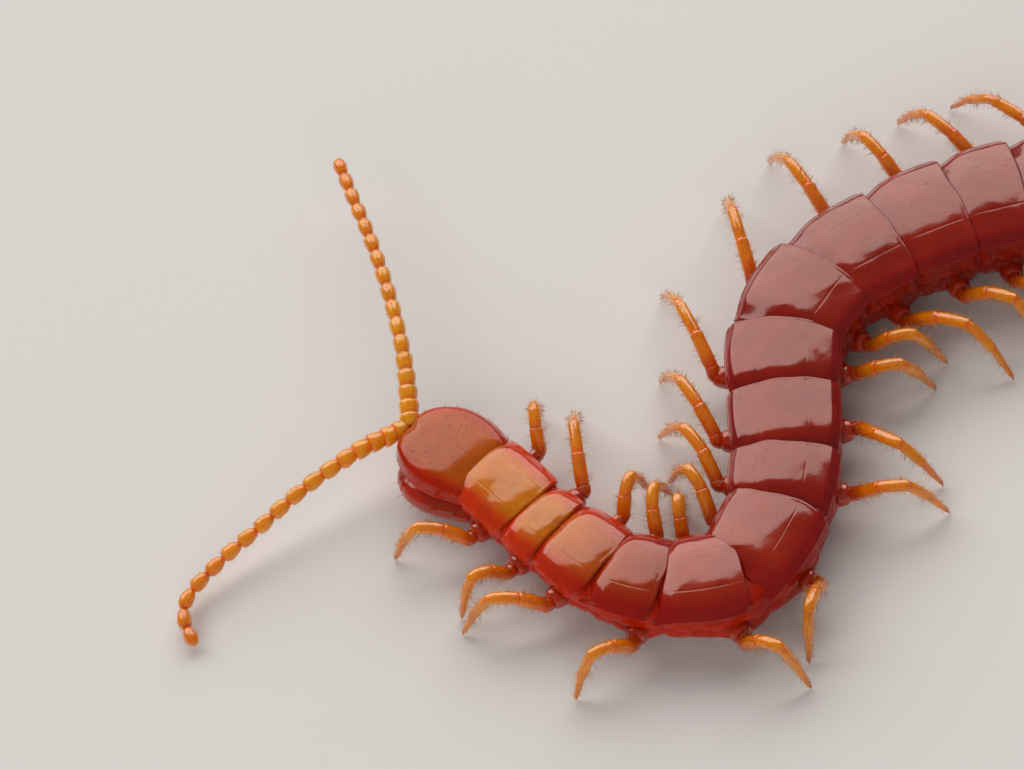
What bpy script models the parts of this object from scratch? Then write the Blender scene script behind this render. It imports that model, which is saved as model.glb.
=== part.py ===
"""A bark centipede, life size: a still model in a walking pose, standing on its feet at z = 0.

Sizes are in millimetres and become metres as the meshes are made. The animal is measured along a curved
body line: a station is the distance behind the front of the head, and across is the distance to the
animal's left. The head is towards -X and the last legs towards +X.
"""
import math

import bmesh
import bpy
import numpy as np
from mathutils import Vector

MM = 0.001
# The gap between nodes that meet face to face
GAP = 0.3

# The body line, seen from above, as points from the front of the head to the last plate
BODY_LINE = (
    (-3.9, -1.9), (-1.6, -4.7), (-0.4, -6.95), (0.4, -8.15), (1.6, -9.85), (3.3, -10.95),
    (5.45, -11.25), (7.2, -9.75), (8.2, -7.65), (8.8, -5.3), (9.6, -2.75), (11.5, -0.9),
    (14.15, -0.1), (16.6, 0.2), (18.9, 0.1), (21.6, -0.5), (24.4, -1.3), (27.3, -1.8),
    (30.2, -1.7), (33.0, -1.1), (35.8, -0.3), (38.6, 0.4), (41.4, 0.8), (44.2, 0.9),
)
# The middle of the model's footprint on the same plan, which becomes the origin
PLAN_CENTRE = (18.95, -2.64)

HEAD_LENGTH = 3.3
PLATE_LENGTHS = (
    2.4, 1.45, 2.3, 2.1, 2.6, 2.75, 2.05, 2.5, 2.45, 2.65, 2.6, 2.55, 2.2,
    2.6, 2.7, 2.6, 2.7, 2.55, 2.6, 2.45, 2.35, 2.1, 1.9,
)
PLATE_WIDTHS = (
    2.95, 2.9, 3.1, 3.25, 3.45, 3.6, 3.75, 3.85, 4.0, 4.15, 4.2, 4.3, 4.35,
    4.4, 4.4, 4.4, 4.35, 4.3, 4.2, 4.1, 3.9, 3.6, 3.1,
)
SEGMENTS = len(PLATE_LENGTHS)
TRUNK_GROUPS = (3, 3, 3, 3, 4, 4, 3)

# How high the belly is held, and how deep the body is for its width
BELLY_HEIGHT = 0.45
DEPTH_SHARE = 0.64
# Each back plate stands this far over the skin between plates
PLATE_STEP = 0.14
SKIN_INSET = 0.94

# Half of the trunk's section: shares of the half width and of the depth, from mid back to mid belly
PLATE_POINTS = ((0.0, 1.0), (0.36, 0.99), (0.7, 0.945), (0.92, 0.85), (1.0, 0.72))
FLANK_POINTS = ((0.93, 0.64), (0.96, 0.46), (0.88, 0.16), (0.52, 0.0), (0.0, 0.0))

# A leg's stretches: share of the reach, height, radius
LEG_SHAPE = (
    (0.0, 1.1, 0.27), (0.08, 1.16, 0.25), (0.14, 1.32, 0.28), (0.34, 1.82, 0.28), (0.385, 1.9, 0.25),
    (0.56, 2.04, 0.27), (0.66, 1.97, 0.25), (0.82, 1.34, 0.25), (0.86, 1.15, 0.2), (0.94, 0.6, 0.18),
    (1.0, 0.22, 0.14), (1.0, 0.0, 0.1),
)
LEG_ROOT = 0.3
LEG_GAP = 0.38
# Each posed leg: swing of the foot towards the rear in degrees, reach of the foot from the hip, share of
# the plate's length at which it grows, and how far it bows towards the rear
RIGHT_LEGS = {
    1: (-42, 2.3, 0.25, 0.0), 2: (-49, 3.9, 0.3, 0.0), 3: (-17, 2.1, 0.38, -0.08),
    4: (-14, 2.55, 0.34, -0.23), 5: (-8, 2.0, 0.1, 0.0), 6: (28, 3.0, 0.71, 0.3),
    7: (42, 3.7, 0.65, 0.3), 8: (55, 4.1, 0.55, 0.1), 9: (58, 4.8, 0.55, 0.05),
    10: (38, 4.6, 0.6, 0.0), 11: (-4, 4.5, 0.55, 0.0), 12: (-16, 3.9, 0.55, 0.0),
    13: (-33, 4.2, 0.55, 0.0), 14: (-49, 5.0, 0.55, 0.0),
}
LEFT_LEGS = {
    1: (-39, 2.9, 0.55, 0.0), 2: (-14, 2.2, 0.55, 0.0), 3: (-38, 3.2, 0.55, 0.0), 4: (-37, 2.6, 0.7, 0.0),
    5: (38, 2.6, 0.75, 0.0), 6: (-66, 2.5, 0.4, 0.0), 7: (0, 3.3, 0.55, -0.2), 8: (-33, 3.5, 0.55, -0.3),
    9: (-1, 2.8, 0.55, -0.25), 10: (26, 2.7, 0.55, -0.1), 11: (31, 4.3, 0.6, 0.25), 12: (34, 3.6, 0.6, 0.2),
}
# Legs with no pose of their own follow a wave along the body
WAVE_SWING = 24.0
WAVE_SEGMENTS = 7.5
WAVE_REACH = 4.2
WAVE_BOW = 0.2
HIP_SHARE = 0.55

# The last legs trail behind: share of the length, height, radius
LAST_LEG_SHAPE = (
    (0.0, 1.3, 0.36), (0.04, 1.35, 0.34), (0.08, 1.45, 0.4), (0.25, 1.9, 0.38), (0.28, 1.95, 0.32),
    (0.48, 1.95, 0.34), (0.51, 1.9, 0.28), (0.7, 1.5, 0.3), (0.73, 1.42, 0.24), (0.87, 1.0, 0.24),
    (0.89, 0.94, 0.19), (0.98, 0.7, 0.15), (1.0, 0.63, 0.06),
)
LAST_LEG_LENGTH = 8.4
LAST_LEG_SPREAD = 16.0

# Feelers: points of the route on the plan, with heights
LEFT_FEELER = (
    (-4.62, -2.02, 1.95), (-5.5, -2.3, 2.1), (-6.8, -2.7, 2.0), (-8.3, -3.2, 1.7), (-9.8, -3.8, 1.3),
    (-11.3, -4.4, 0.95), (-12.7, -5.25, 0.65), (-13.05, -6.1, 0.5), (-12.88, -7.1, 0.4),
)
RIGHT_FEELER = (
    (-3.65, -1.15, 2.0), (-3.42, 0.2, 2.25), (-3.3, 1.7, 2.4), (-3.28, 3.7, 2.4), (-3.4, 6.0, 2.35),
    (-3.65, 8.5, 2.2), (-3.8, 10.1, 2.1),
)
FEELER_ARTICLES = 17
FEELER_RADIUS = (0.3, 0.22)
FEELER_NECK = (0.92, 0.68)


class Line:
    """A smooth line through hand-set points, read by the distance along it."""

    STEPS = 24

    def __init__(self, points):
        points = [np.array(p, float) for p in points]
        points = [2 * points[0] - points[1], *points, 2 * points[-1] - points[-2]]
        track = []
        for a, b, c, d in zip(points, points[1:], points[2:], points[3:]):
            for k in range(self.STEPS):
                track.append(self.between(a, b, c, d, k / self.STEPS))
        track.append(points[-2])
        self.track = np.array(track)
        steps = np.linalg.norm(np.diff(self.track, axis=0), axis=1)
        self.reached = np.concatenate([[0.0], np.cumsum(steps)])
        self.length = float(self.reached[-1])

    @staticmethod
    def between(a, b, c, d, t):
        curve = 2 * b + (c - a) * t + (2 * a - 5 * b + 4 * c - d) * t**2
        return 0.5 * (curve + (3 * b - a - 3 * c + d) * t**3)

    def inside(self, distance):
        return np.array([np.interp(distance, self.reached, axis) for axis in self.track.T])

    def at(self, distance):
        """The point at a distance. Past either end the line runs straight on."""
        nearest = min(max(distance, 0.0), self.length)
        return self.inside(nearest) + (distance - nearest) * self.heading(nearest)

    def heading(self, distance, reach=0.35):
        low = min(max(distance - reach, 0.0), self.length - 2 * reach)
        step = self.inside(low + 2 * reach) - self.inside(low)
        return step / np.linalg.norm(step)


BODY = Line(BODY_LINE)
FRONTS = [HEAD_LENGTH + sum(PLATE_LENGTHS[:i]) for i in range(SEGMENTS + 1)]


def plan(x, y, z):
    """A point of the plan, in metres about the origin."""
    return Vector(((x - PLAN_CENTRE[0]) * MM, (y - PLAN_CENTRE[1]) * MM, z * MM))


def sideways(station):
    """The direction to the animal's left at a station."""
    back = BODY.heading(station)
    return np.array([back[1], -back[0]])


def beside(station, across, height):
    """A point given by station, distance to the left and height."""
    x, y = BODY.at(station) + sideways(station) * across
    return plan(x, y, height)


def clear_scene():
    for item in list(bpy.data.objects):
        bpy.data.objects.remove(item, do_unlink=True)


def finish(name, colour, roughness):
    """A plain finish of one colour."""
    material = bpy.data.materials.new(name)
    material.use_nodes = True
    shader = material.node_tree.nodes["Principled BSDF"]
    shader.inputs["Base Color"].default_value = (*colour, 1.0)
    shader.inputs["Roughness"].default_value = roughness
    shader.inputs["Metallic"].default_value = 0.0
    return material


def blend_colour(front, rear, share):
    return tuple(a + (b - a) * share for a, b in zip(front, rear))


def add_object(name, data, material, collection):
    item = bpy.data.objects.new(name, data)
    data.materials.append(material)
    collection.objects.link(item)
    return item


def loft(name, rings, material, collection):
    """One closed body through rings that have the same number of points."""
    mesh = bpy.data.meshes.new(name)
    shape = bmesh.new()
    loops = [[shape.verts.new(point) for point in ring] for ring in rings]
    for one, two in zip(loops, loops[1:]):
        for k in range(len(one)):
            after = (k + 1) % len(one)
            shape.faces.new((one[k], one[after], two[after], two[k]))
    shape.faces.new(loops[0])
    shape.faces.new(loops[-1])
    bmesh.ops.recalc_face_normals(shape, faces=shape.faces)
    shape.to_mesh(mesh)
    shape.free()
    return add_object(name, mesh, material, collection)


def tube(name, points, material, collection, resolution):
    """A round limb through points that each have a radius."""
    curve = bpy.data.curves.new(name, "CURVE")
    curve.dimensions = "3D"
    curve.bevel_depth = MM
    curve.bevel_resolution = resolution
    curve.use_fill_caps = True
    spline = curve.splines.new("POLY")
    spline.points.add(len(points) - 1)
    for target, (point, radius) in zip(spline.points, points):
        target.co = (*point, 1.0)
        target.radius = radius
    return add_object(name, curve, material, collection)


def mirrored(half):
    """A whole ring from its left half, whose first and last points are on the middle line."""
    return half + [(-across, height) for across, height in reversed(half[1:-1])]


def depth_of(width):
    return width * DEPTH_SHARE


def trunk_ring(station, width, raised, joint=None):
    """A section of the trunk. Joint is where two trunk lengths meet, so that their faces are parallel."""
    square_to = station if joint is None else joint
    middle = BODY.at(square_to) + BODY.heading(square_to) * (station - square_to)
    half_width = width / 2
    depth = depth_of(width)
    drop = 0.0 if raised else PLATE_STEP
    inset = 1.0 if raised else SKIN_INSET
    ring = []
    for across, height in mirrored([*PLATE_POINTS, *FLANK_POINTS]):
        on_plate = height > FLANK_POINTS[0][1]
        level = BELLY_HEIGHT + depth * height - (drop if on_plate else 0.0)
        x, y = middle + sideways(square_to) * across * half_width * inset
        ring.append(plan(x, y, level))
    return ring


def segment_rings(index, first, last):
    """The rings of one segment, the first and last of which may end a trunk length."""
    front, rear = FRONTS[index], FRONTS[index + 1]
    width = PLATE_WIDTHS[index]
    before = PLATE_WIDTHS[max(index - 1, 0)]
    rings = []
    if first:
        rings.append(trunk_ring(front + GAP / 2, (width + before) / 2, raised=False, joint=front))
    rings.append(trunk_ring(front + 0.2 * (rear - front), width * 0.985, raised=True))
    rings.append(trunk_ring(front + 0.6 * (rear - front), width, raised=True))
    if last:
        rings.append(trunk_ring(rear - GAP / 2, width * 0.985, raised=True, joint=rear))
    else:
        rings.append(trunk_ring(rear - 0.03, width * 0.985, raised=True))
        rings.append(trunk_ring(rear + 0.03, width, raised=False))
    return rings


def make_trunk(collection, front_colour, rear_colour):
    index = 0
    for number, count in enumerate(TRUNK_GROUPS, 1):
        rings = []
        for k in range(count):
            rings += segment_rings(index + k, first=k == 0, last=k == count - 1)
        share = min(1.0, (number - 1) / 2)
        material = finish(f"trunk_{number}", blend_colour(front_colour, rear_colour, share), 0.25)
        loft(f"trunk_{number}", rings, material, collection)
        index += count


# The head capsule: station, half width, underside height, top height
HEAD_RINGS = (
    (0.0, 0.42, 1.66, 1.95), (0.16, 0.8, 1.52, 2.12), (0.55, 1.22, 1.4, 2.32), (1.1, 1.56, 1.34, 2.48),
    (1.75, 1.72, 1.32, 2.56), (2.4, 1.7, 1.32, 2.56), (2.85, 1.58, 1.32, 2.5),
)
HEAD_POINTS = (
    (0.0, 1.0), (0.38, 0.97), (0.72, 0.86), (0.93, 0.66), (1.0, 0.45), (0.92, 0.33), (0.78, 0.12),
    (0.45, 0.0), (0.0, 0.0),
)
HEAD_NECK = (1.48, 1.34, 2.42)


def head_ring(station, half_width, bottom, top):
    return [
        beside(station, across * half_width, bottom + (top - bottom) * height)
        for across, height in mirrored(list(HEAD_POINTS))
    ]


def make_head(collection, colour):
    rings = [head_ring(*row) for row in HEAD_RINGS]
    rings.append(head_ring(HEAD_LENGTH - GAP / 2, *HEAD_NECK))
    loft("head", rings, finish("head", colour, 0.2), collection)


def make_feeler(name, route, collection, colour):
    line = Line(route)
    points = []
    for k in range(FEELER_ARTICLES):
        share = k / (FEELER_ARTICLES - 1)
        size = FEELER_RADIUS[0] + (FEELER_RADIUS[1] - FEELER_RADIUS[0]) * share
        neck = FEELER_NECK[0] + (FEELER_NECK[1] - FEELER_NECK[0]) * min(1.0, share * 1.6)
        for along, radius in ((0.0, size * neck), (0.62, size)):
            place = line.at((k + along) / FEELER_ARTICLES * line.length)
            points.append((plan(*place), radius))
    points.append((plan(*line.at(line.length)), FEELER_RADIUS[1] * 0.45))
    tube(name, points, finish(name, colour, 0.3), collection, 2)


# Under the head: the base of the poison claws and the claws, by station, across, height and radius
CLAW_BASE_RINGS = (
    (2.3, 1.25, 0.48, 0.98), (2.6, 1.55, 0.4, 1.04), (HEAD_LENGTH - GAP / 2, 1.58, 0.38, 1.04),
)
CLAW_BASE_POINTS = ((0.0, 1.0), (0.6, 1.0), (1.0, 0.6), (0.85, 0.2), (0.5, 0.0), (0.0, 0.0))
CLAW_SHAPE = (
    (1.92, 1.22, 0.72, 0.34), (1.7, 1.4, 0.74, 0.39), (1.38, 1.5, 0.76, 0.41), (1.0, 1.44, 0.78, 0.36),
    (0.68, 1.22, 0.8, 0.28), (0.42, 0.9, 0.82, 0.19), (0.32, 0.6, 0.84, 0.11), (0.32, 0.34, 0.86, 0.04),
)


def make_claws(collection, colour):
    rings = []
    for station, half_width, bottom, top in CLAW_BASE_RINGS:
        rings.append([
            beside(station, across * half_width, bottom + (top - bottom) * height)
            for across, height in mirrored(list(CLAW_BASE_POINTS))
        ])
    loft("forcipule_base", rings, finish("forcipule_base", colour, 0.25), collection)
    for side, sign in (("left", 1), ("right", -1)):
        name = f"forcipule_{side}"
        points = [(beside(s, sign * across, height), radius) for s, across, height, radius in CLAW_SHAPE]
        tube(name, points, finish(name, colour, 0.2), collection, 2)


def flank_at(index, height):
    """The half width of the segment's flank at a height, at its middle."""
    half_width = PLATE_WIDTHS[index] / 2
    depth = depth_of(PLATE_WIDTHS[index])
    shares = [share for _, share in FLANK_POINTS[1:4]][::-1]
    widths = [across for across, _ in FLANK_POINTS[1:4]][::-1]
    return half_width * float(np.interp((height - BELLY_HEIGHT) / depth, shares, widths))


def leg_pose(number, side):
    posed = LEFT_LEGS if side == "left" else RIGHT_LEGS
    if number in posed:
        return posed[number]
    phase = 2 * math.pi * number / WAVE_SEGMENTS + (math.pi if side == "left" else 0.0)
    return WAVE_SWING * math.sin(phase), WAVE_REACH + 0.2 * math.cos(phase), HIP_SHARE, WAVE_BOW


def make_leg(number, side, collection, colour):
    index = number - 1
    swing, reach, hip_share, bow = leg_pose(number, side)
    station = FRONTS[index] + hip_share * PLATE_LENGTHS[index]
    outward = sideways(station) * (1 if side == "left" else -1)
    back = BODY.heading(station)
    turn = math.radians(swing)
    hip = BODY.at(station) + outward * (flank_at(index, LEG_SHAPE[0][1]) + LEG_GAP)
    root = hip + outward * LEG_ROOT
    foot = hip + (outward * math.cos(turn) + back * math.sin(turn)) * reach
    bend = (back * math.cos(turn) - outward * math.sin(turn)) * bow
    points = [(plan(*hip, LEG_SHAPE[0][1]), LEG_SHAPE[0][2])]
    for share, height, radius in LEG_SHAPE[1:]:
        way = (share - LEG_SHAPE[1][0]) / (1 - LEG_SHAPE[1][0])
        place = root + (foot - root) * way + bend * math.sin(math.pi * way)
        points.append((plan(*place, height), radius))
    name = f"leg_{number:02d}_{side}"
    tube(name, points, finish(name, colour, 0.35), collection, 1)


def make_last_leg(side, collection, colour):
    sign = 1 if side == "left" else -1
    station = FRONTS[SEGMENTS] + GAP / 2
    outward = sideways(station) * sign
    back = BODY.heading(station)
    turn = math.radians(LAST_LEG_SPREAD)
    hip = BODY.at(station) + outward * PLATE_WIDTHS[-1] * 0.28
    along = back * math.cos(turn) + outward * math.sin(turn)
    points = []
    for share, height, radius in LAST_LEG_SHAPE:
        way = back * share + (along - back) * max(0.0, share - LAST_LEG_SHAPE[1][0])
        points.append((plan(*(hip + way * LAST_LEG_LENGTH), height), radius))
    name = f"leg_{SEGMENTS:02d}_{side}"
    tube(name, points, finish(name, colour, 0.35), collection, 1)


def main():
    clear_scene()
    collection = bpy.data.collections.new("Bark centipede")
    bpy.context.scene.collection.children.link(collection)
    amber, orange_red, deep_red = (0.65, 0.25, 0.04), (0.6, 0.1, 0.02), (0.3, 0.03, 0.02)
    make_head(collection, orange_red)
    make_claws(collection, orange_red)
    make_trunk(collection, orange_red, deep_red)
    make_feeler("antenna_left", LEFT_FEELER, collection, amber)
    make_feeler("antenna_right", RIGHT_FEELER, collection, amber)
    for side in ("left", "right"):
        for number in range(1, SEGMENTS):
            make_leg(number, side, collection, amber)
        make_last_leg(side, collection, amber)


main()
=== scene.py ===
"""The looks of a life-size bark centipede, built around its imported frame.

Sizes are in millimetres on the plan that the frame was made from, and become metres as meshes are made.
A station is the distance along the body behind the front of the head, across is the distance to the
animal's left, and height is over the floor. Every piece is a closed mesh and rides on the one body.
"""
import math

import bpy
import numpy as np
from mathutils import Matrix, Vector


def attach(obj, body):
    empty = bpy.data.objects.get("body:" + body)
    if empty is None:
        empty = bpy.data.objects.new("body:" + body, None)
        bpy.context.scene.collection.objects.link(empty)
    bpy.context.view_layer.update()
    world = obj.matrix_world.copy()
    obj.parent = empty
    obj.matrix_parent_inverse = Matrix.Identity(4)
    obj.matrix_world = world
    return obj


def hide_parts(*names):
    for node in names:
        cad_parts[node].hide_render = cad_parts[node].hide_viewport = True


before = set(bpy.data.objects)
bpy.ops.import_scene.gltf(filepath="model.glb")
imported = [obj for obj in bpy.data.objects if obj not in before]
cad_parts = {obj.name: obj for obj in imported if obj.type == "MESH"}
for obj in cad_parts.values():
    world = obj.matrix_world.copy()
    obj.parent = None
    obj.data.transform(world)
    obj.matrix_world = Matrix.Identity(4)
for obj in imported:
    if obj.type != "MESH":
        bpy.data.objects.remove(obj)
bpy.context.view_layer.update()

MM = 0.001
rng = np.random.default_rng(23)

# The plan of the frame: the body line, the model's middle, and the sizes of head, plates and legs
BODY_LINE = (
    (-3.9, -1.9), (-1.6, -4.7), (-0.4, -6.95), (0.4, -8.15), (1.6, -9.85), (3.3, -10.95),
    (5.45, -11.25), (7.2, -9.75), (8.2, -7.65), (8.8, -5.3), (9.6, -2.75), (11.5, -0.9),
    (14.15, -0.1), (16.6, 0.2), (18.9, 0.1), (21.6, -0.5), (24.4, -1.3), (27.3, -1.8),
    (30.2, -1.7), (33.0, -1.1), (35.8, -0.3), (38.6, 0.4), (41.4, 0.8), (44.2, 0.9),
)
PLAN_CENTRE = (18.95, -2.64)
HEAD_LENGTH = 3.3
PLATE_LENGTHS = (
    2.4, 1.45, 2.3, 2.1, 2.6, 2.75, 2.05, 2.5, 2.45, 2.65, 2.6, 2.55, 2.2,
    2.6, 2.7, 2.6, 2.7, 2.55, 2.6, 2.45, 2.35, 2.1, 1.9,
)
PLATE_WIDTHS = (
    2.95, 2.9, 3.1, 3.25, 3.45, 3.6, 3.75, 3.85, 4.0, 4.15, 4.2, 4.3, 4.35,
    4.4, 4.4, 4.4, 4.35, 4.3, 4.2, 4.1, 3.9, 3.6, 3.1,
)
SEGMENTS = len(PLATE_LENGTHS)
BELLY_HEIGHT = 0.45
DEPTH_SHARE = 0.64

# A leg's middle line: share of the reach, height
LEG_SHAPE = (
    (0.0, 1.1), (0.08, 1.16), (0.14, 1.32), (0.34, 1.82), (0.385, 1.9), (0.56, 2.04), (0.66, 1.97),
    (0.82, 1.34), (0.86, 1.15), (0.94, 0.6), (1.0, 0.22),
)
HIP_HEIGHT = LEG_SHAPE[0][1]
# How far a leg's line starts outside its hip, and the hip outside the flank
LEG_ROOT = 0.3
LEG_GAP = 0.38
# Swing towards the rear in degrees, reach from the hip, share of the plate at which it grows, and bow
RIGHT_LEGS = {
    1: (-42, 2.3, 0.25, 0.0), 2: (-49, 3.9, 0.3, 0.0), 3: (-17, 2.1, 0.38, -0.08),
    4: (-14, 2.55, 0.34, -0.23), 5: (-8, 2.0, 0.1, 0.0), 6: (28, 3.0, 0.71, 0.3),
    7: (42, 3.7, 0.65, 0.3), 8: (55, 4.1, 0.55, 0.1), 9: (58, 4.8, 0.55, 0.05),
    10: (38, 4.6, 0.6, 0.0), 11: (-4, 4.5, 0.55, 0.0), 12: (-16, 3.9, 0.55, 0.0),
    13: (-33, 4.2, 0.55, 0.0), 14: (-49, 5.0, 0.55, 0.0),
}
LEFT_LEGS = {
    1: (-39, 2.9, 0.55, 0.0), 2: (-14, 2.2, 0.55, 0.0), 3: (-38, 3.2, 0.55, 0.0), 4: (-37, 2.6, 0.7, 0.0),
    5: (38, 2.6, 0.75, 0.0), 6: (-66, 2.5, 0.4, 0.0), 7: (0, 3.3, 0.55, -0.2), 8: (-33, 3.5, 0.55, -0.3),
    9: (-1, 2.8, 0.55, -0.25), 10: (26, 2.7, 0.55, -0.1), 11: (31, 4.3, 0.6, 0.25), 12: (34, 3.6, 0.6, 0.2),
}
# Legs with no pose of their own follow a wave along the body
WAVE_SWING = 24.0
WAVE_SEGMENTS = 7.5
WAVE_REACH = 4.2
WAVE_BOW = 0.2
HIP_SHARE = 0.55
# The trunk's section: share of the depth, share of the half width
FLANK_WIDTHS = ((0.0, 0.52), (0.16, 0.88), (0.46, 0.96), (0.64, 0.93))

# The last legs trail behind: share of the length, height
LAST_LEG_SHAPE = (
    (0.0, 1.3), (0.04, 1.35), (0.08, 1.45), (0.25, 1.9), (0.28, 1.95), (0.48, 1.95), (0.51, 1.9),
    (0.7, 1.5), (0.73, 1.42), (0.87, 1.0), (0.89, 0.94), (0.98, 0.7), (1.0, 0.63),
)
LAST_LEG_LENGTH = 8.4
LAST_LEG_SPREAD = 16.0

# Each feeler's route, from the head to its tip
LEFT_FEELER = (
    (-4.62, -2.02, 1.95), (-5.5, -2.3, 2.1), (-6.8, -2.7, 2.0), (-8.3, -3.2, 1.7), (-9.8, -3.8, 1.3),
    (-11.3, -4.4, 0.95), (-12.7, -5.25, 0.65), (-13.05, -6.1, 0.5), (-12.88, -7.1, 0.4),
)
RIGHT_FEELER = (
    (-3.65, -1.15, 2.0), (-3.42, 0.2, 2.25), (-3.3, 1.7, 2.4), (-3.28, 3.7, 2.4), (-3.4, 6.0, 2.35),
    (-3.65, 8.5, 2.2), (-3.8, 10.1, 2.1),
)
FEELER_ARTICLES = 17

# How far a bristle's tip droops, as a share of its length
BRISTLE_DROOP = 0.25


class Line:
    """A smooth line through given points, read by the distance along it."""

    STEPS = 24

    def __init__(self, points):
        points = np.array(points, float)
        points = np.vstack([2 * points[0] - points[1], points, 2 * points[-1] - points[-2]])
        a, b, c, d = (points[k : len(points) - 3 + k, None] for k in range(4))
        t = np.arange(self.STEPS)[:, None] / self.STEPS
        track = 2 * b + (c - a) * t + (2 * a - 5 * b + 4 * c - d) * t**2 + (3 * b - a - 3 * c + d) * t**3
        self.track = np.vstack([0.5 * track.reshape(-1, points.shape[1]), points[-2]])
        steps = np.linalg.norm(np.diff(self.track, axis=0), axis=1)
        self.reached = np.concatenate([[0.0], np.cumsum(steps)])
        self.length = float(self.reached[-1])

    def inside(self, distance):
        return np.stack([np.interp(distance, self.reached, axis) for axis in self.track.T], axis=-1)

    def at(self, distance):
        nearest = np.clip(distance, 0.0, self.length)
        return self.inside(nearest) + (distance - nearest)[..., None] * self.heading(nearest)

    def heading(self, distance, reach=0.35):
        low = np.clip(distance - reach, 0.0, self.length - 2 * reach)
        step = self.inside(low + 2 * reach) - self.inside(low)
        return step / np.linalg.norm(step, axis=-1, keepdims=True)


BODY = Line(BODY_LINE)
FRONTS = [HEAD_LENGTH + sum(PLATE_LENGTHS[:i]) for i in range(SEGMENTS + 1)]
BODY_LENGTH = FRONTS[-1]


def to_world(points):
    """Plan points in metres about the origin."""
    return (np.asarray(points, float) - (*PLAN_CENTRE, 0.0)) * MM


def leftward(heading):
    return np.stack([heading[..., 1], -heading[..., 0]], axis=-1)


def on_body(station, across, height):
    """Plan points for grids of station, distance to the left and height."""
    flat = BODY.at(station) + leftward(BODY.heading(station)) * np.asarray(across)[..., None]
    height = np.broadcast_to(height, flat.shape[:-1])
    return np.concatenate([flat, height[..., None]], axis=-1)


def slanted(stations, along, rise):
    """Directions along the body that all rise, or fall, by the same amount."""
    flat = BODY.heading(stations) * along
    return np.concatenate([flat, np.full((len(flat), 1), rise)], axis=1)


def read(table, place):
    """A smooth reading of a table of (place, value) rows."""
    places, values = np.array(table, float).T
    slopes = np.gradient(values, places)
    place = np.clip(place, places[0], places[-1])
    k = np.clip(np.searchsorted(places, place) - 1, 0, len(places) - 2)
    gap = places[k + 1] - places[k]
    t = (place - places[k]) / gap
    start = values[k] * (1 + 2 * t) * (1 - t) ** 2 + slopes[k] * gap * t * (1 - t) ** 2
    return start + values[k + 1] * t**2 * (3 - 2 * t) + slopes[k + 1] * gap * t**2 * (t - 1)


def ease(low, high, value):
    """0 below low, 1 above high and smooth between."""
    t = np.clip((value - low) / (high - low), 0.0, 1.0)
    return t * t * (3 - 2 * t)


def bell(value, middle, width):
    return np.exp(-(((value - middle) / width) ** 2))


def mirrored(values, flip=1):
    """A full section from its half, which runs from mid back to mid belly."""
    return np.concatenate([values, values[-2:0:-1] * flip])


def circle(count):
    """Angles round a full turn."""
    return np.linspace(0, 2 * math.pi, count, endpoint=False)


def unit(vectors):
    return vectors / np.maximum(np.linalg.norm(vectors, axis=-1, keepdims=True), 1e-12)


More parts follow.
